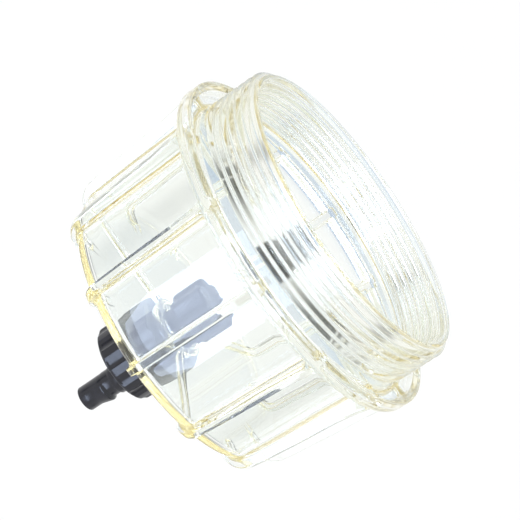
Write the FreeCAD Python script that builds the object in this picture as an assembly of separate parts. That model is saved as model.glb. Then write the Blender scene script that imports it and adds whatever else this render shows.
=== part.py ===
import FreeCAD, Part
import math
import os

V = FreeCAD.Vector

# Clear screw-in collection bowl with a black rotary drain valve.
# Frame: +Z points out of the mouth, along the bowl's axis. The origin is on the
# axis, in the plane of the flange's front rim, where the thread of the neck
# begins. +X passes through one rib, and the drain nipple is offset towards +Y.
# Lengths in millimetres.

# ---- neck -------------------------------------------------------------------
R_THREAD = 48.05       # crest of the outside thread and the shoulder below it
Z_THREAD_TOP = 15.2    # end of the full thread
R_LEAD = 46.3          # plain lead-in ring between the thread and the lip
Z_LIP = 16.5           # mouth lip
R_LIP_IN = 44.9        # inner edge of the lip
R_BORE = 43.2          # bore of the neck
Z_BEVEL = 13.6         # lower end of the bevel inside the lip
Z_BORE_END = 2.3       # lower end of the bore

# ---- flange with its open gutter ---------------------------------------------
R_FLANGE = 55.0        # outside of the flange
R_GUTTER = 52.3        # inside of the flange's outer wall
Z_FLOOR = -3.8         # floor of the gutter
R_ROOT_ROUND = 1.4     # round between the gutter's floor and the neck
Z_BACK = -6.1          # back face of the flange
WEB_T = 3.0            # thickness of a gutter web
Z_WEB = -2.55          # top of a gutter web

# ---- body ---------------------------------------------------------------------
N_RIBS = 12
R_BODY_TOP = 48.05     # outside of the wall under the flange
R_BODY_LOW = 46.2      # outside of the wall at the bottom
R_CORNER = 4.5         # bottom corner radius, outside
Z_BOTTOM = -50.4       # underside of the bottom plate
WALL = 3.0             # wall and bottom thickness
R_IN_TOP = 45.0        # inside radius under the neck
Z_IN_TOP = -2.9        # height where the cone under the bore ends

# ---- ribs ---------------------------------------------------------------------
RIB_T = 2.4
RIB_EDGE = ((54.0, -6.1), (52.4, -16.5), (51.6, -28.0))   # outer edge of a rib
R_RIB_LOW = 49.6       # the edge aims at this radius at the lowest line
R_RIB_CORNER = 7.5
Z_RIB_BOTTOM = -51.6   # lowest edge of the ribs under the bottom plate
LONG_RIBS = (1, 5, 9)  # these run on to the middle
R_SHORT_RIB = 38.5     # the others end here

# ---- passage for the drain valve ---------------------------------------------
R_RECESS = 8.0         # shallow recess in the inside floor around the passage
Z_RECESS = -48.0
R_SEAT = 6.10          # smooth stretch that the upper seal closes
Z_SEAT_END = -50.1
R_STEM_BORE = 7.00     # threaded stretch (plain wall here)
Z_STEM_BORE = -50.95
Z_STEM_BORE_END = -56.4
R_GLAND = 7.70         # smooth bore for the stem seal
R_SKIRT = 9.4          # outside of the skirt under the bottom
Z_SKIRT = -62.8

# ---- drain valve -----------------------------------------------------------
Z_LAND = (-48.0, -49.9)
R_LAND = 6.02
Z_LAND_GROOVE = (-48.3, -49.6)
R_LAND_GROOVE = 4.74
R_WAIST = 5.2
Z_WAIST = (-50.2, -51.9)
R_STEM = 6.95
Z_STEM_END = -56.8
R_PISTON = 7.62
Z_PISTON_GROOVE = (-57.2, -58.9)
R_PISTON_GROOVE = 6.10
R_KNOB = 12.4
Z_KNOB_TOP = -53.0
Z_KNOB_CUP = -63.3     # floor of the cup that the skirt stands in
Z_KNOB_END = -70.2
R_KNOB_CUP = 10.2
N_FLUTES = 12
R_FLUTE = 2.2          # radius of one grip flute
FLUTE_CENTRE = 14.0    # radius at which the flutes are centred
OFFSET = 2.5           # the nipple stands off the axis by this much
R_COLLAR = 4.55
Z_COLLAR_END = -75.0
R_ROOT = 4.1           # between collar and barb
Z_BARB_START = -77.5
R_BARB = 4.45
Z_BARB = -78.7         # crest of the barb
BARB_SIDE = 0.45       # the barb stands out on the far side only
Z_BARB_END = -82.5
R_NIPPLE = 3.95
Z_NIPPLE_END = -86.8
R_NIPPLE_BORE = 2.4
R_CENTRE_BORE = 2.2
Z_CENTRE_BORE_TOP = -50.0
Z_CENTRE_BORE_END = -68.0
R_PORT = 0.75
Z_PORT = -51.0
R_NECK = 3.35          # post that carries the cap, opposite to the nipple
NECK_OFFSET = -2.45
Z_NECK_TOP = -41.3
UPPER_RING = (5.40, 0.60, -48.95)    # ring radius, section radius, height
STEM_RING = (6.885, 0.73, -58.05)

# ---- lobed cap on the valve's post, inside the bowl ---------------------------
N_LOBES = 7
R_LOBE = 2.4
LOBE_CENTRE = 6.2
R_CAP_CORE = 7.0
Z_CAP = (-45.15, -34.0)
R_SOCKET = 3.37
Z_SOCKET_TOP = -41.15


def rounded(points):
    """Closed outline in the XZ plane from (r, z, corner radius) points."""
    n = len(points)
    cuts = []
    for i in range(n):
        p = points[i]
        a = points[i - 1]
        b = points[(i + 1) % n]
        P = V(p[0], 0, p[1])
        u = V(a[0], 0, a[1]) - P
        w = V(b[0], 0, b[1]) - P
        u.normalize()
        w.normalize()
        rad = p[2] if len(p) > 2 else 0.0
        if rad <= 0:
            cuts.append((P, P, None))
            continue
        ang = math.acos(max(-1.0, min(1.0, u.dot(w))))
        d = rad / math.tan(ang / 2.0)
        s = P + u * d
        e = P + w * d
        bis = u + w
        bis.normalize()
        c = P + bis * (rad / math.sin(ang / 2.0))
        mid = c - bis * rad
        cuts.append((s, e, mid))
    edges = []
    for i in range(n):
        s, e, mid = cuts[i]
        if mid is not None:
            edges.append(Part.Arc(s, mid, e).toShape())
        nxt = cuts[(i + 1) % n][0]
        if (nxt - e).Length > 1e-6:
            edges.append(Part.makeLine(e, nxt))
    return Part.Wire(edges)


def turned(points):
    face = Part.Face(rounded(points))
    return face.revolve(V(0, 0, 0), V(0, 0, 1), 360)


def plate(points, thickness):
    face = Part.Face(rounded(points))
    solid = face.extrude(V(0, thickness, 0))
    solid.translate(V(0, -thickness / 2.0, 0))
    return solid


def around(shape, count):
    out = []
    for i in range(count):
        s = shape.copy()
        s.rotate(V(0, 0, 0), V(0, 0, 1), 360.0 * i / count)
        out.append(s)
    return out


def ring(radius, y, z):
    return Part.Wire([Part.makeCircle(radius, V(0, y, z), V(0, 0, 1))])


def one_solid(shape):
    shape = shape.removeSplitter()
    return shape.Solids[0] if len(shape.Solids) == 1 else shape


os.makedirs("parts", exist_ok=True)

# ---- bowl: one moulding --------------------------------------------------------
z_in_floor = Z_BOTTOM + WALL
r_in_low = R_BODY_LOW - WALL
section = [
    # neck, from the lip down the outside
    (R_LIP_IN, Z_LIP, 0.3),
    (R_LEAD, Z_LIP, 0.4),
    (R_LEAD, Z_THREAD_TOP + 0.7),
    (R_THREAD, Z_THREAD_TOP),
    (R_THREAD, Z_FLOOR, R_ROOT_ROUND),
    # gutter and flange
    (R_GUTTER, Z_FLOOR, 0.7),
    (R_GUTTER + 0.05, -1.5, 0.4),
    (R_GUTTER + 1.3, 0.0, 0.4),
    (R_FLANGE - 0.1, 0.0, 0.5),
    (R_FLANGE, Z_BACK, 2.4),
    (R_BODY_TOP, Z_BACK, 1.2),
    # body wall, corner and bottom
    (R_BODY_LOW, Z_BOTTOM, R_CORNER),
    (R_SKIRT, Z_BOTTOM, 0.8),
    (R_SKIRT, Z_SKIRT, 0.4),
    # passage through the bottom
    (R_GLAND + 0.25, Z_SKIRT),
    (R_GLAND, Z_SKIRT + 0.3),
    (R_GLAND, Z_STEM_BORE_END),
    (R_STEM_BORE, Z_STEM_BORE_END),
    (R_STEM_BORE, Z_STEM_BORE),
    (R_SEAT, Z_SEAT_END),
    (R_SEAT, Z_RECESS),
    (R_RECESS, Z_RECESS),
    (R_RECESS, z_in_floor),
    # inside of the bowl
    (r_in_low, z_in_floor, 1.8),
    (R_IN_TOP, Z_IN_TOP, 1.0),
    (R_BORE, Z_BORE_END, 0.3),
    (R_BORE, Z_BEVEL, 0.4),
]
body = turned(section)

# one rib: it stands on the wall and wraps the bottom corner; three of the twelve
# run on under the bottom plate to the skirt
def rib_outline(r_end):
    return [
        (47.0, Z_BACK + 0.6),
        (RIB_EDGE[0][0], Z_BACK + 0.6),
        RIB_EDGE[0],
        (RIB_EDGE[1][0], RIB_EDGE[1][1], 30.0),
        (RIB_EDGE[2][0], RIB_EDGE[2][1]),
        (R_RIB_LOW, Z_RIB_BOTTOM, R_RIB_CORNER),
        (r_end, Z_RIB_BOTTOM, 0.9 if r_end > 20.0 else 0.0),
        (r_end, Z_BOTTOM + 1.0),
        (R_BODY_LOW - 1.2, Z_BOTTOM + 1.2, 3.0),
    ]


short_rib = plate(rib_outline(R_SHORT_RIB), RIB_T)
long_rib = plate(rib_outline(R_SKIRT - 0.6), RIB_T)
ribs = []
for k in range(N_RIBS):
    r = (long_rib if k in LONG_RIBS else short_rib).copy()
    r.rotate(V(0, 0, 0), V(0, 0, 1), 360.0 * k / N_RIBS)
    ribs.append(r)

# one gutter web: from the shoulder to the flange's outer wall
web = plate([
    (R_THREAD - 0.8, Z_FLOOR - 0.8),
    (R_GUTTER + 0.8, Z_FLOOR - 0.8),
    (R_GUTTER + 0.8, Z_WEB),
    (R_THREAD - 0.8, Z_WEB),
], WEB_T)

bowl = body.multiFuse(ribs + around(web, N_RIBS))
bowl = one_solid(bowl)
bowl.exportStep("parts/bowl.step")

# ---- drain valve: knob, stem and hose nipple in one moulding ---------------------
stem = turned([
    (0, Z_LAND[0]),
    (R_LAND, Z_LAND[0]),
    (R_LAND, Z_LAND_GROOVE[0]),
    (R_LAND_GROOVE, Z_LAND_GROOVE[0]),
    (R_LAND_GROOVE, Z_LAND_GROOVE[1]),
    (R_LAND, Z_LAND_GROOVE[1]),
    (R_LAND, Z_LAND[1]),
    (R_WAIST, Z_WAIST[0]),
    (R_WAIST, Z_WAIST[1]),
    (R_STEM - 0.4, Z_WAIST[1]),
    (R_STEM, Z_WAIST[1] - 0.4),
    (R_STEM, Z_STEM_END),
    (R_PISTON, Z_STEM_END),
    (R_PISTON, Z_PISTON_GROOVE[0]),
    (R_PISTON_GROOVE, Z_PISTON_GROOVE[0]),
    (R_PISTON_GROOVE, Z_PISTON_GROOVE[1]),
    (R_PISTON, Z_PISTON_GROOVE[1]),
    (R_PISTON, Z_KNOB_CUP - 1.0),
    (0, Z_KNOB_CUP - 1.0),
])
knob = turned([
    (0, Z_KNOB_CUP),
    (R_KNOB_CUP, Z_KNOB_CUP, 0.6),
    (R_KNOB_CUP, Z_KNOB_TOP),
    (R_KNOB - 0.1, Z_KNOB_TOP, 0.6),
    (R_KNOB, Z_KNOB_END, 1.3),
    (0, Z_KNOB_END),
])
flute = Part.makeCylinder(R_FLUTE, Z_KNOB_TOP - Z_KNOB_END + 2.0,
                          V(FLUTE_CENTRE, 0, Z_KNOB_END - 1.0), V(0, 0, 1))
flutes = around(flute, N_FLUTES)
for f in flutes:
    f.rotate(V(0, 0, 0), V(0, 0, 1), 180.0 / N_FLUTES)
knob = knob.cut(Part.Compound(flutes))

# the nipple: collar and tube are turned, the barb is tangent to the tube on the
# side of the axis and stands out on the other side
nipple = turned([
    (0, Z_KNOB_END + 1.0),
    (R_COLLAR, Z_KNOB_END + 1.0),
    (R_COLLAR, Z_COLLAR_END, 0.4),
    (R_ROOT, Z_COLLAR_END),
    (R_ROOT, Z_BARB_START),
    (R_NIPPLE, Z_BARB_START),
    (R_NIPPLE, Z_NIPPLE_END, 0.5),
    (0, Z_NIPPLE_END),
])
barb = Part.makeLoft([
    ring(R_NIPPLE, 0, Z_BARB_START),
    ring(R_BARB, BARB_SIDE, Z_BARB + 0.2),
    ring(R_BARB, BARB_SIDE, Z_BARB - 0.2),
    ring(R_NIPPLE, 0, Z_BARB_END),
], True, True)
nipple = nipple.fuse(barb)
nipple.translate(V(0, OFFSET, 0))

post = Part.makeCylinder(R_NECK, Z_NECK_TOP - Z_LAND[0] + 0.2,
                         V(0, NECK_OFFSET, Z_LAND[0] - 0.2), V(0, 0, 1))
valve = stem.multiFuse([knob, nipple, post])
drill = Part.makeCylinder(R_CENTRE_BORE, Z_CENTRE_BORE_TOP - Z_CENTRE_BORE_END,
                          V(0, 0, Z_CENTRE_BORE_END), V(0, 0, 1))
outlet = Part.makeCylinder(R_NIPPLE_BORE, 22.0, V(0, OFFSET, Z_NIPPLE_END - 1.0), V(0, 0, 1))
port_x = Part.makeCylinder(R_PORT, 14.0, V(-7.0, 0, Z_PORT), V(1, 0, 0))
port_y = Part.makeCylinder(R_PORT, 14.0, V(0, -7.0, Z_PORT), V(0, 1, 0))
valve = valve.cut(Part.Compound([drill, outlet, port_x, port_y]))
valve = one_solid(valve)
valve.exportStep("parts/drain_valve.step")

# ---- lobed cap ---------------------------------------------------------------------
cap_height = Z_CAP[1] - Z_CAP[0]
core = Part.makeCylinder(R_CAP_CORE, cap_height, V(0, 0, Z_CAP[0]), V(0, 0, 1))
lobe = Part.makeCylinder(R_LOBE, cap_height, V(LOBE_CENTRE, 0, Z_CAP[0]), V(0, 0, 1))
cap = core.multiFuse(around(lobe, N_LOBES))
cap = cap.common(turned([
    (0, Z_CAP[1]),
    (R_CAP_CORE + 1.7, Z_CAP[1], 1.2),
    (R_CAP_CORE + 1.7, Z_CAP[0], 1.2),
    (0, Z_CAP[0]),
]))
cap = cap.cut(Part.makeCylinder(R_SOCKET, Z_SOCKET_TOP - Z_CAP[0] + 1.0,
                                V(0, NECK_OFFSET, Z_CAP[0] - 1.0), V(0, 0, 1)))
cap = one_solid(cap)
cap.exportStep("parts/inner_cap.step")

# ---- the two rubber seals of the valve -------------------------------------------
for name, (radius, sec, z) in (("upper_seal", UPPER_RING), ("stem_seal", STEM_RING)):
    seal = Part.makeTorus(radius, sec, V(0, 0, z), V(0, 0, 1))
    seal.exportStep("parts/%s.step" % name)

for name, s in (("bowl", bowl), ("drain_valve", valve), ("inner_cap", cap)):
    print(name, s.isValid(), len(s.Solids), round(s.Volume / 1000.0, 2), "cm3", s.BoundBox)
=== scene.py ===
import bpy
import bmesh
import math
import numpy as np
from mathutils import Matrix, Vector


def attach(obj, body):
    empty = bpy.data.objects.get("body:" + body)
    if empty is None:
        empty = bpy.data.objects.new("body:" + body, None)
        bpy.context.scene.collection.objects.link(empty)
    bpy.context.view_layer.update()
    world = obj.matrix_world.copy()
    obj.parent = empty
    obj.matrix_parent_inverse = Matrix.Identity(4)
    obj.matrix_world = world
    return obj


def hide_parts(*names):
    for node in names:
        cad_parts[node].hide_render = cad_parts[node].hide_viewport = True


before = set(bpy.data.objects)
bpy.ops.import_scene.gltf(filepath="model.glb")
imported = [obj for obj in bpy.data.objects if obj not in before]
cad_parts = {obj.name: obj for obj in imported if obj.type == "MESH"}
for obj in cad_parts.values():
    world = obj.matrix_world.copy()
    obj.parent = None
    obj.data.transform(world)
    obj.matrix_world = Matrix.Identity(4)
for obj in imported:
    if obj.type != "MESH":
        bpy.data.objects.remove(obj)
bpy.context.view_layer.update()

MM = 0.001
TAU = 2.0 * math.pi

# =============================================================================
# Camera: the photograph's viewing angle, rolled so that the bowl's axis runs up
# to the right. Lengths here are millimetres in the part's own frame.
# =============================================================================
THETA = math.radians(71.47)     # between the optical axis and the bowl's axis
PSI = math.radians(-33.81)      # direction of +Z in the picture, y down
TURN = math.radians(3.317)      # from the viewer's side round to rib 0
FOCAL_PX = 2135.39
Z_C = np.array([math.sin(THETA) * math.cos(PSI), math.sin(THETA) * math.sin(PSI), -math.cos(THETA)])
W_C = np.array([-math.cos(THETA) * math.cos(PSI), -math.cos(THETA) * math.sin(PSI), -math.sin(THETA)])
M_C = np.cross(Z_C, W_C)
ORIGIN_C = np.array([12.11, -4.39, 617.165]) + 2.8 * Z_C   # the part's origin seen from the camera
W_O = np.array([math.cos(TURN), -math.sin(TURN), 0.0])
M_O = np.array([math.sin(TURN), math.cos(TURN), 0.0])
Z_O = np.array([0.0, 0.0, 1.0])


def to_object(vec_c):
    return W_O * vec_c.dot(W_C) + M_O * vec_c.dot(M_C) + Z_O * vec_c.dot(Z_C)


right = to_object(np.array([1.0, 0.0, 0.0]))
down = to_object(np.array([0.0, 1.0, 0.0]))
ahead = to_object(np.array([0.0, 0.0, 1.0]))
eye = to_object(-ORIGIN_C)

cam_data = bpy.data.cameras.new("Camera")
cam = bpy.data.objects.new("Camera", cam_data)
bpy.context.scene.collection.objects.link(cam)
cam_data.sensor_width = 36.0
cam_data.lens = FOCAL_PX / 520.0 * 36.0
cam_data.clip_start = 0.01
cam_data.clip_end = 50.0
rot = Matrix((
    (right[0], -down[0], -ahead[0]),
    (right[1], -down[1], -ahead[1]),
    (right[2], -down[2], -ahead[2]),
))
cam.matrix_world = Matrix.Translation(Vector(eye * MM)) @ rot.to_4x4()
bpy.context.scene.camera = cam


# =============================================================================
# Small helpers for outlines and meshes
# =============================================================================
def line(a, b, n):
    """n points from a towards b, b left out."""
    return [(a[0] + (b[0] - a[0]) * i / n, a[1] + (b[1] - a[1]) * i / n) for i in range(n)]


def corner(a, p, b, rad, n):
    """n + 1 points of the round at p between the legs to a and b."""
    A, P, B = Vector(a), Vector(p), Vector(b)
    u = (A - P).normalized()
    w = (B - P).normalized()
    ang = math.acos(max(-1.0, min(1.0, u.dot(w))))
    d = rad / math.tan(ang / 2.0)
    c = P + (u + w).normalized() * (rad / math.sin(ang / 2.0))
    s = P + u * d - c
    e = P + w * d - c
    a0 = math.atan2(s.y, s.x)
    a1 = math.atan2(e.y, e.x)
    while a1 - a0 > math.pi:
        a1 -= TAU
    while a1 - a0 < -math.pi:
        a1 += TAU
    return [(c.x + rad * math.cos(a0 + (a1 - a0) * i / n), c.y + rad * math.sin(a0 + (a1 - a0) * i / n)) for i in range(n + 1)]


def outline(points, close=False):
    """Polyline from (r, z, corner radius, arc steps, steps of the run after it)."""
    out = []
    n = len(points)
    last = []
    for i, p in enumerate(points):
        rad = p[2]
        inner = close or 0 < i < n - 1
        if rad > 0 and inner:
            a = points[i - 1]
            b = points[(i + 1) % n]
            pts = corner(a[:2], p[:2], b[:2], rad, p[3])
        else:
            pts = [tuple(p[:2])]
        if last:
            steps = points[i - 1][4]
            out += line(last[-1], pts[0], steps)[1:]
        out += pts
        last = pts
    if close:
        out += line(last[-1], out[0], points[-1][4])[1:]
    return out


def resample(points, n):
    """n points evenly along a polyline, both ends kept."""
    p = np.array(points, float)
    d = np.r_[0.0, np.cumsum(np.hypot(*np.diff(p, axis=0).T))]
    t = np.linspace(0.0, d[-1], n)
    return [(float(np.interp(x, d, p[:, 0])), float(np.interp(x, d, p[:, 1]))) for x in t]


def mesh_object(name, verts_mm, faces, sharp=35.0, weld=2e-7):
    me = bpy.data.meshes.new(name)
    me.from_pydata((np.asarray(verts_mm) * MM).tolist(), [], faces)
    bm = bmesh.new()
    bm.from_mesh(me)
    bmesh.ops.remove_doubles(bm, verts=bm.verts, dist=weld)
    bmesh.ops.dissolve_degenerate(bm, edges=bm.edges, dist=weld)
    bmesh.ops.recalc_face_normals(bm, faces=bm.faces)
    bm.to_mesh(me)
    bm.free()
    me.polygons.foreach_set("use_smooth", [True] * len(me.polygons))
    me.set_sharp_from_angle(angle=math.radians(sharp))
    me.update()
    obj = bpy.data.objects.new(name, me)
    bpy.context.scene.collection.objects.link(obj)
    return obj


# =============================================================================
# Bowl: one closed skin. Rows follow the section, columns go round. Near each rib
# the columns keep a constant distance from the rib's middle plane.
# =============================================================================
N_RIBS = 12
PITCH = 2.5
R_CREST = 48.05
R_ROOT = 46.45
Z_LOW = -0.35        # the thread's rows run from here
Z_HIGH = 16.05       # to here
CREST_0 = 0.59       # height of a crest at rib 0

RIB_HALF, RIB_EDGE, RIB_FILLET = 1.2, 0.38, 0.85
WEB_HALF, WEB_EDGE, WEB_FILLET = 1.5, 0.25, 0.5

# rows before the thread: from the lip's outer edge inwards is the loop's end,
# so the loop starts at the lower end of the thread and goes down the outside
rows = []            # (base r, base z, rib r, rib z, web weight, line of the long ribs)
LONG_RIBS = (1, 5, 9)


def add(points, ribs=None, web=0.0, long_ribs=None):
    for i, p in enumerate(points):
        q = p if ribs is None else ribs[i]
        rows.append((p[0], p[1], q[0], q[1], web, None if long_ribs is None else long_ribs[i]))


# shoulder and gutter, with the webs' tops as the raised line
Z_FLOOR, Z_WEB, Z_KEEP = -3.8, -2.55, -1.3
gutter = outline([
    (R_CREST, -2.2, 0, 0, 1),
    (R_CREST, Z_FLOOR, 1.4, 7, 2),
    (52.3, Z_FLOOR, 0.8, 5, 2),
    (52.35, -1.3, 0, 0, 1),
])
raised = []
for r, z in gutter:
    k = max(0.0, min(1.0, (Z_KEEP - z) / (Z_KEEP - Z_FLOOR)))
    raised.append((r, z + (Z_WEB - Z_FLOOR) * k))
add(gutter, raised, web=1.0)

# rim and outside of the flange, down to where the ribs start
rim = outline([
    (52.35, -1.3, 0, 0, 1),
    (52.36, -1.15, 0.3, 3, 2),
    (53.35, -0.12, 0.35, 3, 2),
    (54.85, 0.0, 0.55, 4, 5),
    (55.0, -6.1, 2.4, 9, 1),
    (52.0, -6.1, 0, 0, 1),
])
rim = rim[1:]
cut = [i for i, p in enumerate(rim) if p[1] < -3.0 and p[0] < 54.05][0]
add(rim[:cut], web=0.5)

# underside of the flange, wall, corner, bottom and boss foot, each with the
# rib's outer line that belongs to it
under = resample([rim[cut]] + rim[cut + 1:-1] + corner((52.0, -6.1), (48.05, -6.1), (47.98, -12.0), 1.2, 5), 11)
wall_top = under[-1]
edge_line = [(54.05, rim[cut][1]), (54.0, -6.1), (53.45, -9.0), (52.95, -12.0), (52.45, -16.0), (52.1, -20.0),
             (51.75, -26.0), (51.25, -32.0), (50.75, -38.0), (50.2, -44.1)]
upper = resample([edge_line[0], edge_line[1], edge_line[2], (53.3, -9.9)], 11)
add(under[:-1], upper[:-1])

wall = resample([wall_top, (47.6, -16.8), (47.1, -31.8), (46.38, -45.9)], 17)
lower = resample([(53.3, -9.9)] + edge_line[3:], 17)
add(wall[:-1], lower[:-1])


def arc(cx, cz, rad, a0, a1, n):
    return [(cx + rad * math.cos(math.radians(a0 + (a1 - a0) * i / n)),
             cz + rad * math.sin(math.radians(a0 + (a1 - a0) * i / n))) for i in range(n + 1)]


add(arc(41.88, -45.9, 4.5, 0, -90, 9)[:-1], arc(42.6, -44.1, 7.5, 0, -90, 9)[:-1])
# bottom: nine ribs end here, three run on to the skirt
add([(41.88, -50.4), (40.6, -50.4), (39.4, -50.4)], [(42.6, -51.6), (40.8, -51.6), (39.4, -51.6)])
add([(39.0, -50.4), (38.7, -50.4), (38.5, -50.4)], [(39.0, -51.5), (38.7, -51.2), (38.5, -50.8)],
    long_ribs=[(39.0, -51.6), (38.7, -51.6), (38.5, -51.6)])
bottom = resample([(38.45, -50.4), (10.2, -50.4)], 7)
add(bottom[:-1], None, long_ribs=[(p[0], -51.6) for p in bottom[:-1]])
foot = corner((20.0, -50.4), (9.4, -50.4), (9.4, -60.0), 0.8, 4)
add(foot, None, long_ribs=[(p[0], -51.6) for p in foot])
add([(9.4, -51.6)])

# skirt and the passage for the valve, then the shallow recess and the inside of the bowl
inside = outline([
    (9.4, -52.2, 0, 0, 3),
    (9.4, -62.8, 0.4, 4, 1),
    (7.95, -62.8, 0, 0, 1),
    (7.7, -62.5, 0, 0, 2),
    (7.7, -56.42, 0, 0, 1),
    (7.0, -56.38, 0, 0, 2),
    (7.0, -50.95, 0, 0, 1),
    (6.1, -50.1, 0, 0, 1),
    (6.1, -48.0, 0.12, 2, 1),
    (8.0, -48.0, 0.2, 3, 1),
    (8.1, -47.4, 0.15, 3, 4),
    (43.25, -47.4, 1.8, 7, 8),
    (45.0, -2.9, 1.0, 6, 2),
    (43.2, 2.3, 0.35, 4, 4),
    (43.2, 13.6, 0.4, 3, 2),
    (44.95, 16.5, 0.3, 4, 3),
    (46.2, 16.5, 0.3, 4, 1),
    (46.2, Z_HIGH, 0, 0, 1),
])

# ---- columns ----------------------------------------------------------------------
ANG = [0.0, 30.0, 60.0, 90.0]


def half_columns():
    """(kind, angle) of the columns on one side of a rib's middle."""
    cols = [("edge", a) for a in ANG] + [("foot", a) for a in ANG]
    return cols


MIDS = 14
columns = []         # (sector, side, kind, value)
for k in range(N_RIBS):
    columns.append((k, 0, "middle", 0.0))
    for kind, a in half_columns():
        columns.append((k, 1, kind, a))
    for q in range(1, MIDS + 1):
        columns.append((k, 0, "free", q / (MIDS + 1.0)))
    for kind, a in reversed(half_columns()):
        columns.append((k + 1, -1, kind, a))
N = len(columns)


def place(r_b, z_b, r_o, z_o, web, own=None):
    """All the columns of one row; own is the line of the long ribs."""
    half = RIB_HALF + (WEB_HALF - RIB_HALF) * web
    edge = RIB_EDGE + (WEB_EDGE - RIB_EDGE) * web
    foot_r = RIB_FILLET + (WEB_FILLET - RIB_FILLET) * web
    reach = half + foot_r
    s = min(1.0, 0.92 * r_b * math.sin(math.radians(15.0)) / reach)
    out = []
    phi_e = math.asin(reach * s / r_b)
    short = (r_o, z_o)
    for k, side, kind, val in columns:
        base = TAU * k / N_RIBS
        r_o, z_o = own if own is not None and k % N_RIBS in LONG_RIBS else short
        H = math.hypot(r_o - r_b, z_o - z_b)
        e_h = min(edge, 0.3 * H)
        f_h = min(foot_r, 0.5 * H)
        if kind == "free":
            phi = base + phi_e + val * (TAU / N_RIBS - 2.0 * phi_e)
            out.append((r_b * math.cos(phi), r_b * math.sin(phi), z_b))
            continue
        a = math.radians(val)
        if kind == "middle":
            y, h = 0.0, H
        elif kind == "edge":
            y = (half - edge * (1.0 - math.sin(a))) * s
            h = H - e_h * (1.0 - math.cos(a))
        else:
            y = (half + foot_r * (1.0 - math.cos(a))) * s
            h = f_h * (1.0 - math.sin(a))
        t = h / H if H > 1e-9 else 0.0
        x = math.sqrt(r_b * r_b - y * y) + (r_o - r_b) * t
        z = z_b + (z_o - z_b) * t
        y *= side if side else 1
        c, sn = math.cos(base), math.sin(base)
        out.append((x * c - y * sn, x * sn + y * c, z))
    return out


def column_angles(r_b):
    pts = place(r_b, 0.0, r_b, 0.0, 0.0)
    ang = np.array([math.atan2(p[1], p[0]) for p in pts])
    return np.mod(ang + 1e-9, TAU) - 1e-9


# ---- the outside thread: its rows climb with the helix ---------------------------------
TOOTH = [(0.0, 0.0), (0.14, 0.0), (0.24, 0.03), (0.34, 0.13), (1.02, 0.87), (1.12, 0.97), (1.22, 1.0),
         (1.34, 1.0), (1.44, 0.97), (1.54, 0.87), (2.22, 0.13), (2.32, 0.03), (2.42, 0.0)]
K = len(TOOTH)
N_FIRST, N_LAST = -2, 6


def smooth(x, a, b):
    t = np.clip((x - a) / (b - a), 0.0, 1.0)
    return t * t * (3.0 - 2.0 * t)


even = TAU * np.arange(N) / N
phi = even
thread = []
for n in range(N_FIRST, N_LAST + 1):
    for off, deep in TOOTH:
        z = CREST_0 + PITCH * (n + phi / TAU) + off
        zc = np.clip(z, Z_LOW, Z_HIGH)
        d = deep * smooth(zc, 0.2, 1.3)
        r = R_CREST - (R_CREST - R_ROOT) * d
        lead = np.interp(zc, [14.7, 15.9, Z_HIGH], [R_CREST + 0.01, 46.25, 46.2])
        r = np.minimum(r, lead)
        thread.append(np.stack([r * np.cos(phi), r * np.sin(phi), zc], axis=1))

def even_ring(r, z, share=1.0):
    """A row with evenly spaced columns; share below 1 turns back to the ribs' columns."""
    a = even if share >= 1.0 else even * share + column_angles(r) * (1.0 - share)
    return np.stack([r * np.cos(a), r * np.sin(a), np.full(N, z)], axis=1)


# the shoulder turns from the thread's even columns to the ribs' columns
grid = [even_ring(R_CREST, z, share=f) for z, f in
        ((-0.5, 0.999), (-0.72, 0.9), (-0.95, 0.77), (-1.2, 0.6), (-1.45, 0.42), (-1.7, 0.24), (-1.95, 0.09))]
grid += [np.array(place(*row)) for row in rows]
grid += [even_ring(*p) for p in inside[:-1]]
# the loop: lower end of the thread down the outside, through the bowl and up to the
# lip, then down the thread
order = grid + thread[::-1]
i0 = len(grid)                    # first thread row (top one)
i1 = len(order) - 1               # last thread row (bottom one)
R = len(order)
verts = np.concatenate(order)


def wrapped(i):
    """Row of column 0 that meets row i of the last column."""
    if i0 <= i <= i1:
        return max(i - K, i0)
    return i


faces = []
for i in range(R):
    i2 = (i + 1) % R
    a = i * N
    b = i2 * N
    for j in range(N - 1):
        faces.append((a + j, a + j + 1, b + j + 1, b + j))
    faces.append((a + N - 1, wrapped(i) * N, wrapped(i2) * N, b + N - 1))
bowl = mesh_object("bowl_clear", verts, faces, sharp=52.0)
print("bowl triangles", sum(len(q.vertices) - 2 for q in bowl.data.polygons))
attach(bowl, "bowl")
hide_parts("bowl")


# =============================================================================
# Drain valve: fluted knob, threaded stem, collar and eccentric nipple
# =============================================================================
NV = 192
OFF = 2.5
ang = np.linspace(0.0, TAU, NV, endpoint=False)


def flute_depth(a):
    """0 on a land, 1 in the middle of a flute."""
    t = np.mod(a / TAU * 12.0, 1.0)
    u = np.abs(t - 0.5) / 0.27
    return np.where(u < 1.0, np.sqrt(np.clip(1.0 - u * u, 0.0, 1.0)), 0.0)


rings = []


def turn(r, z, y=0.0, flute=0.0):
    rr = r - flute * flute_depth(ang)
    rings.append(np.stack([rr * np.cos(ang), y + rr * np.sin(ang), np.full(NV, z)], axis=1))


def turn_list(points, y=0.0, flute=0.0):
    for r, z in points:
        turn(r, z, y, flute)


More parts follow.
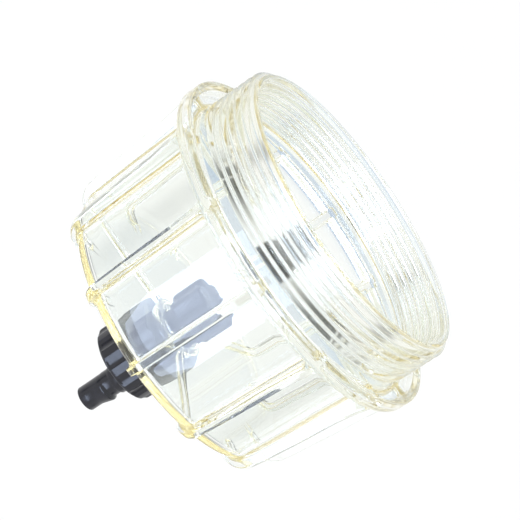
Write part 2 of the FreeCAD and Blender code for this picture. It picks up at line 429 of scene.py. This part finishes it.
# outlet bore, tip and barb
turn(0.02, -66.0, 1.2)
turn(2.3, -66.0, 1.3)
turn(2.4, -66.6, OFF)
turn(2.4, -76.0, OFF)
turn(2.4, -86.4, OFF)
turn(2.75, -86.8, OFF)
turn_list(corner((2.7, -86.8), (3.95, -86.8), (3.95, -80.0), 0.5, 5), OFF)
turn(3.95, -84.4, OFF)
turn(3.95, -82.6, OFF)
for t in np.linspace(0.0, 1.0, 6)[1:]:
    turn(3.95 + 0.5 * t, -82.6 + 3.6 * t, OFF + 0.45 * t)
turn(4.45, -78.75, OFF + 0.45)
turn(4.40, -78.45, OFF + 0.41)
turn(4.25, -78.1, OFF + 0.25)
turn(4.12, -77.75, OFF + 0.06)
turn(4.1, -77.3, OFF)
turn(4.1, -75.5, OFF + 0.02)
turn(4.14, -75.2, OFF + 0.05)
turn_list(corner((4.14, -75.0), (4.57, -75.0), (4.57, -70.0), 0.3, 4), OFF + 0.15)
turn(4.57, -72.0, OFF + 0.15)
turn(4.57, -70.75, OFF + 0.12)
turn(4.75, -70.35, OFF + 0.1)
turn(5.15, -70.2, OFF)
turn(7.5, -70.2, OFF * 0.5)
turn(10.2, -70.2, 0.0)
for r, z in corner((9.0, -70.2), (12.4, -70.2), (12.4, -60.0), 1.1, 6):
    turn(r, z, 0.0, 0.62 * max(0.0, min(1.0, (z + 70.2) / 1.1)))
for z in np.linspace(-68.6, -54.2, 7):
    turn(12.4, z, 0.0, 0.62)
for r, z in corner((12.4, -60.0), (12.35, -53.0), (9.0, -53.0), 0.6, 4):
    turn(r, z, 0.0, 0.62 * max(0.0, min(1.0, (-53.0 - z) / 0.6)))
turn(10.45, -53.0)
turn(10.2, -53.25)
turn(10.2, -58.0)
turn_list(corner((10.2, -60.0), (10.2, -63.3), (6.0, -63.3), 0.6, 4))
turn_list(corner((9.0, -63.3), (7.62, -63.3), (7.62, -60.0), 0.4, 3))
# piston with the seal groove
turn(7.62, -60.5)
turn(7.62, -59.0)
turn(7.52, -58.9)
turn(6.2, -58.9)
turn(6.1, -58.8)
turn(6.1, -57.3)
turn(6.2, -57.2)
turn(7.52, -57.2)
turn(7.62, -57.12)
turn(7.62, -56.95)
turn(7.45, -56.8)
turn(6.2, -56.8)
# stem thread, 2 mm pitch, right-handed
for z in np.arange(-56.6, -51.9, 0.14):
    ph = np.mod((z - 2.0 * ang / TAU) / 2.0, 1.0)
    tri = np.clip((np.abs(ph - 0.5) * 2.0 - 0.15) / 0.7, 0.0, 1.0)
    fade = float(smooth(z, -56.6, -56.0) * (1.0 - smooth(z, -52.5, -51.9)))
    rr = 5.85 + 1.07 * tri * fade + (1.0 - fade) * 0.3
    rings.append(np.stack([rr * np.cos(ang), rr * np.sin(ang), np.full(NV, z)], axis=1))
turn(5.6, -51.85)
turn(5.2, -51.65)
turn(5.2, -50.3)
# land with the upper seal's groove
turn(5.3, -50.15)
turn(5.95, -49.97)
turn(6.02, -49.88)
turn(6.02, -49.68)
turn(5.95, -49.6)
turn(4.84, -49.6)
turn(4.74, -49.5)
turn(4.74, -48.4)
turn(4.84, -48.3)
turn(5.95, -48.3)
turn(6.02, -48.24)
turn(6.02, -48.1)
turn(5.93, -48.0)
# the post that carries the cap stands off the axis, opposite to the nipple
POST = -2.45
turn(4.6, -48.0, POST * 0.45)
turn(3.75, -48.0, POST * 0.85)
turn(3.5, -47.92, POST)
turn(3.38, -47.75, POST)
turn(3.35, -47.5, POST)
turn(3.35, -44.5, POST)
turn(3.35, -41.5, POST)
turn(3.15, -41.3, POST)
turn(0.02, -41.3, POST)

vv = np.concatenate(rings)
ff = []
for i in range(len(rings) - 1):
    for j in range(NV):
        j2 = (j + 1) % NV
        ff.append((i * NV + j, i * NV + j2, (i + 1) * NV + j2, (i + 1) * NV + j))
ff.append(tuple(range(NV - 1, -1, -1)))
ff.append(tuple((len(rings) - 1) * NV + j for j in range(NV)))
valve = mesh_object("valve_black", vv, ff, sharp=32.0)
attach(valve, "valve")
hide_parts("drain_valve")


# =============================================================================
# Lobed cap on the post: seven round lobes, rounded edges, a socket for the post
# =============================================================================
NC = 210
ca = np.linspace(0.0, TAU, NC, endpoint=False)


def lobed(swell):
    """Radius of the lobed outline, drawn in or out by swell."""
    d = (np.mod(ca / TAU * 7.0 + 0.5, 1.0) - 0.5) * TAU / 7.0
    s2 = 2.4 ** 2 - (6.2 * np.sin(d)) ** 2
    r = 6.2 * np.cos(d) + np.sqrt(np.clip(s2, 0.0, None))
    r = np.where(s2 > 0.0, r, 7.0)
    k = 0.9
    h = np.clip(0.5 + 0.5 * (r - 7.0) / k, 0.0, 1.0)
    return 7.0 * (1.0 - h) + r * h + k * h * (1.0 - h) * 0.5 + swell


cap_rings = []


def cap_ring(r, z, y=0.0):
    cap_rings.append(np.stack([r * np.cos(ca), y + r * np.sin(ca), np.full(NC, z)], axis=1))


cap_ring(np.full(NC, 0.02), -41.15, POST)
cap_ring(np.full(NC, 3.3), -41.15, POST)
cap_ring(np.full(NC, 3.37), -41.25, POST)
cap_ring(np.full(NC, 3.37), -43.5, POST)
cap_ring(np.full(NC, 3.37), -44.95, POST)
cap_ring(np.full(NC, 3.6), -45.15, POST)
cap_ring(lobed(-1.2) * 0.5 + 2.0, -45.15, POST * 0.25)
for q, z in corner((-3.0, -45.15), (0.0, -45.15), (0.0, -41.0), 1.1, 6):
    cap_ring(lobed(q), z)
cap_ring(lobed(0.0), -40.8)
for q, z in corner((0.0, -40.0), (0.0, -34.0), (-3.0, -34.0), 1.1, 6):
    cap_ring(lobed(q), z)
cap_ring(lobed(-1.5) * 0.7, -34.0)
cap_ring(np.full(NC, 3.4), -34.0)
cap_ring(np.full(NC, 3.2), -34.1)
cap_ring(np.full(NC, 2.9), -34.55)
cap_ring(np.full(NC, 0.02), -34.6)
cv = np.concatenate(cap_rings)
cf = []
for i in range(len(cap_rings) - 1):
    for j in range(NC):
        j2 = (j + 1) % NC
        cf.append((i * NC + j, i * NC + j2, (i + 1) * NC + j2, (i + 1) * NC + j))
cf.append(tuple(range(NC - 1, -1, -1)))
cf.append(tuple((len(cap_rings) - 1) * NC + j for j in range(NC)))
cap = mesh_object("inner_cap_black", cv, cf, sharp=40.0)
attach(cap, "valve")
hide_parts("inner_cap")


# =============================================================================
# Materials
# =============================================================================
def new_material(name):
    mat = bpy.data.materials.new(name)
    mat.use_nodes = True
    nt = mat.node_tree
    nt.nodes.clear()
    out = nt.nodes.new("ShaderNodeOutputMaterial")
    bsdf = nt.nodes.new("ShaderNodeBsdfPrincipled")
    nt.links.new(bsdf.outputs["BSDF"], out.inputs["Surface"])
    return mat, nt, bsdf, out


def noise(nt, scale, detail=3.0, rough=0.5):
    tc = nt.nodes.new("ShaderNodeTexCoord")
    n = nt.nodes.new("ShaderNodeTexNoise")
    n.inputs["Scale"].default_value = scale
    n.inputs["Detail"].default_value = detail
    n.inputs["Roughness"].default_value = rough
    nt.links.new(tc.outputs["Object"], n.inputs["Vector"])
    return n


def ramp(nt, src, lo, hi, a=0.3, b=0.7):
    m = nt.nodes.new("ShaderNodeMapRange")
    m.inputs["From Min"].default_value = a
    m.inputs["From Max"].default_value = b
    m.inputs["To Min"].default_value = lo
    m.inputs["To Max"].default_value = hi
    nt.links.new(src, m.inputs["Value"])
    return m.outputs["Result"]


clear, nt, bsdf, out = new_material("clear_plastic")
bsdf.inputs["Base Color"].default_value = (0.957, 0.977, 0.974, 1.0)
bsdf.inputs["Transmission Weight"].default_value = 1.0
bsdf.inputs["IOR"].default_value = 1.585
n1 = noise(nt, 900.0, 3.0)
# polished, apart from the thread, which is a little satin
tc = nt.nodes.new("ShaderNodeTexCoord")
xyz = nt.nodes.new("ShaderNodeSeparateXYZ")
nt.links.new(tc.outputs["Object"], xyz.inputs["Vector"])
flat = nt.nodes.new("ShaderNodeCombineXYZ")
nt.links.new(xyz.outputs["X"], flat.inputs["X"])
nt.links.new(xyz.outputs["Y"], flat.inputs["Y"])
span = nt.nodes.new("ShaderNodeVectorMath")
span.operation = "LENGTH"
nt.links.new(flat.outputs["Vector"], span.inputs[0])
on_height = ramp(nt, xyz.outputs["Z"], 0.0, 1.0, 0.0002, 0.0014)
on_radius = ramp(nt, span.outputs["Value"], 0.0, 1.0, 0.0456, 0.0462)
on_thread = nt.nodes.new("ShaderNodeMath")
on_thread.operation = "MULTIPLY"
nt.links.new(on_height, on_thread.inputs[0])
nt.links.new(on_radius, on_thread.inputs[1])
rough = nt.nodes.new("ShaderNodeMath")
rough.operation = "MULTIPLY_ADD"
nt.links.new(on_thread.outputs["Value"], rough.inputs[0])
rough.inputs[1].default_value = 0.075
nt.links.new(ramp(nt, n1.outputs["Fac"], 0.0, 0.012), rough.inputs[2])
nt.links.new(rough.outputs["Value"], bsdf.inputs["Roughness"])
n2 = noise(nt, 60.0, 2.0)
bump = nt.nodes.new("ShaderNodeBump")
bump.inputs["Strength"].default_value = 0.08
bump.inputs["Distance"].default_value = 0.0002
nt.links.new(n2.outputs["Fac"], bump.inputs["Height"])
nt.links.new(bump.outputs["Normal"], bsdf.inputs["Normal"])
vol = nt.nodes.new("ShaderNodeVolumeAbsorption")
vol.inputs["Color"].default_value = (0.955, 0.82, 0.28, 1.0)
vol.inputs["Density"].default_value = 10.5
nt.links.new(vol.outputs["Volume"], out.inputs["Volume"])
bowl.data.materials.append(clear)

black, nt, bsdf, out = new_material("black_plastic")
n1 = noise(nt, 700.0, 4.0)
mix = nt.nodes.new("ShaderNodeMix")
mix.data_type = "RGBA"
mix.inputs[6].default_value = (0.003, 0.003, 0.007, 1.0)
mix.inputs[7].default_value = (0.007, 0.007, 0.014, 1.0)
nt.links.new(n1.outputs["Fac"], mix.inputs[0])
nt.links.new(mix.outputs[2], bsdf.inputs["Base Color"])
nt.links.new(ramp(nt, n1.outputs["Fac"], 0.12, 0.20), bsdf.inputs["Roughness"])
bsdf.inputs["IOR"].default_value = 1.53
n3 = noise(nt, 2500.0, 2.0)
bump = nt.nodes.new("ShaderNodeBump")
bump.inputs["Strength"].default_value = 0.05
bump.inputs["Distance"].default_value = 0.00005
nt.links.new(n3.outputs["Fac"], bump.inputs["Height"])
nt.links.new(bump.outputs["Normal"], bsdf.inputs["Normal"])
valve.data.materials.append(black)
cap.data.materials.append(black)

rubber, nt, bsdf, out = new_material("seal_rubber")
n1 = noise(nt, 1500.0, 4.0)
mix = nt.nodes.new("ShaderNodeMix")
mix.data_type = "RGBA"
mix.inputs[6].default_value = (0.012, 0.012, 0.012, 1.0)
mix.inputs[7].default_value = (0.028, 0.028, 0.028, 1.0)
nt.links.new(n1.outputs["Fac"], mix.inputs[0])
nt.links.new(mix.outputs[2], bsdf.inputs["Base Color"])
nt.links.new(ramp(nt, n1.outputs["Fac"], 0.45, 0.65), bsdf.inputs["Roughness"])
for name in ("upper_seal", "stem_seal"):
    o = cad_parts[name]
    o.data.materials.clear()
    o.data.materials.append(rubber)


# =============================================================================
# Stage: pale floor, white surroundings, soft lights
# =============================================================================
def card(name, centre, normal, size, mat, up=(0, 0, 1)):
    n = Vector(normal).normalized()
    u = Vector(up).cross(n)
    if u.length < 1e-6:
        u = Vector((1, 0, 0))
    u.normalize()
    v = n.cross(u)
    c = Vector(centre)
    a, b = size[0] / 2.0, size[1] / 2.0
    me = bpy.data.meshes.new(name)
    me.from_pydata([c - u * a - v * b, c + u * a - v * b, c + u * a + v * b, c - u * a + v * b], [], [(0, 1, 2, 3)])
    me.materials.append(mat)
    o = bpy.data.objects.new(name, me)
    bpy.context.scene.collection.objects.link(o)
    return o


floor_mat, nt, bsdf, out = new_material("floor_pale")
n1 = noise(nt, 3.0, 2.0)
mix = nt.nodes.new("ShaderNodeMix")
mix.data_type = "RGBA"
mix.inputs[6].default_value = (0.985, 0.955, 0.955, 1.0)
mix.inputs[7].default_value = (0.995, 0.965, 0.965, 1.0)
nt.links.new(n1.outputs["Fac"], mix.inputs[0])
nt.links.new(mix.outputs[2], bsdf.inputs["Base Color"])
bsdf.inputs["Roughness"].default_value = 0.9
card("floor", (0.0, 0.0, -0.6), (0, 0, 1), (16.0, 16.0), floor_mat)


def softbox(name, centre, target, size, radiance, colour=(1.0, 1.0, 1.0)):
    """A soft light that only lights and reflects: the camera never sees it."""
    data = bpy.data.lights.new(name, "AREA")
    data.shape = "RECTANGLE"
    data.size, data.size_y = size
    data.energy = radiance * math.pi * size[0] * size[1]
    data.color = colour
    o = bpy.data.objects.new(name, data)
    bpy.context.scene.collection.objects.link(o)
    c = Vector(centre)
    o.location = c
    o.rotation_euler = (Vector(target) - c).to_track_quat("-Z", "Y").to_euler()
    o.visible_camera = False
    return o


def spot(azimuth, elevation, distance):
    a, e = math.radians(azimuth), math.radians(elevation)
    return (distance * math.cos(e) * math.cos(a), distance * math.cos(e) * math.sin(a), distance * math.sin(e) - 0.02)


# the bright band on the near wall, the thread's crests and the neck's far wall
softbox("front_band", spot(-4.4, -22.6, 0.8), (0, 0, -0.02), (0.83, 0.21), 5.1, (0.62, 0.74, 1.0))
# the light that the thread's upper flanks and the shoulders reflect; it doesn't light the floor
top_light = softbox("top_light", spot(176.0, 75.0, 0.9), (0, 0, -0.02), (0.62, 0.32), 12.0, (0.74, 0.85, 1.0))
top_light.visible_diffuse = False

# soft tones around the bowl that only its reflections and refractions show; each fades
# out towards its edge
def soft_tone(name, place_of, radius, strength, dark, light):
    c = Vector(spot(*place_of))
    mat, nt, bsdf, out = new_material(name)
    n1 = noise(nt, 5.0, 2.0)
    mix = nt.nodes.new("ShaderNodeMix")
    mix.data_type = "RGBA"
    mix.inputs[6].default_value = dark + (1.0,)
    mix.inputs[7].default_value = light + (1.0,)
    nt.links.new(n1.outputs["Fac"], mix.inputs[0])
    nt.links.new(mix.outputs[2], bsdf.inputs["Base Color"])
    bsdf.inputs["Roughness"].default_value = 1.0
    bsdf.inputs["Specular IOR Level"].default_value = 0.0
    tc = nt.nodes.new("ShaderNodeTexCoord")
    far = nt.nodes.new("ShaderNodeVectorMath")
    far.operation = "DISTANCE"
    nt.links.new(tc.outputs["Object"], far.inputs[0])
    far.inputs[1].default_value = tuple(c)
    fade = nt.nodes.new("ShaderNodeMapRange")
    fade.interpolation_type = "SMOOTHSTEP"
    fade.inputs["From Min"].default_value = 0.2 * radius
    fade.inputs["From Max"].default_value = radius
    fade.inputs["To Min"].default_value = strength
    fade.inputs["To Max"].default_value = 0.0
    nt.links.new(far.outputs["Value"], fade.inputs["Value"])
    through = nt.nodes.new("ShaderNodeBsdfTransparent")
    both = nt.nodes.new("ShaderNodeMixShader")
    nt.links.new(fade.outputs["Result"], both.inputs[0])
    nt.links.new(through.outputs["BSDF"], both.inputs[1])
    nt.links.new(bsdf.outputs["BSDF"], both.inputs[2])
    nt.links.new(both.outputs["Shader"], out.inputs["Surface"])
    tone = card(name, c, Vector((0, 0, -0.02)) - c, (2.05 * radius, 2.05 * radius), mat)
    tone.visible_camera = False
    tone.visible_diffuse = False
    tone.visible_shadow = False


GREY = ((0.010, 0.012, 0.014), (0.020, 0.024, 0.026))
soft_tone("tone_left", (-80.0, -23.0, 0.6), 0.17, 0.72, *GREY)
soft_tone("tone_right", (90.0, -20.0, 0.6), 0.19, 0.68, *GREY)
soft_tone("tone_left_low", (-156.0, -45.0, 0.5), 0.15, 0.97, *GREY)
soft_tone("tone_right_low", (154.0, -46.0, 0.5), 0.15, 0.97, *GREY)
soft_tone("tone_back", (180.0, 7.0, 1.0), 0.42, 0.80, (0.36, 0.46, 0.64), (0.40, 0.50, 0.68))

world = bpy.data.worlds.new("studio")
bpy.context.scene.world = world
world.use_nodes = True
bg = world.node_tree.nodes["Background"]
bg.inputs["Color"].default_value = (0.965, 1.0, 0.997, 1.0)
bg.inputs["Strength"].default_value = 1.05

sc = bpy.context.scene
sc.view_settings.view_transform = "Standard"
sc.view_settings.look = "None"
sc.view_settings.exposure = 0.0
sc.cycles.max_bounces = 28
sc.cycles.transmission_bounces = 28
sc.cycles.glossy_bounces = 28
sc.cycles.diffuse_bounces = 3
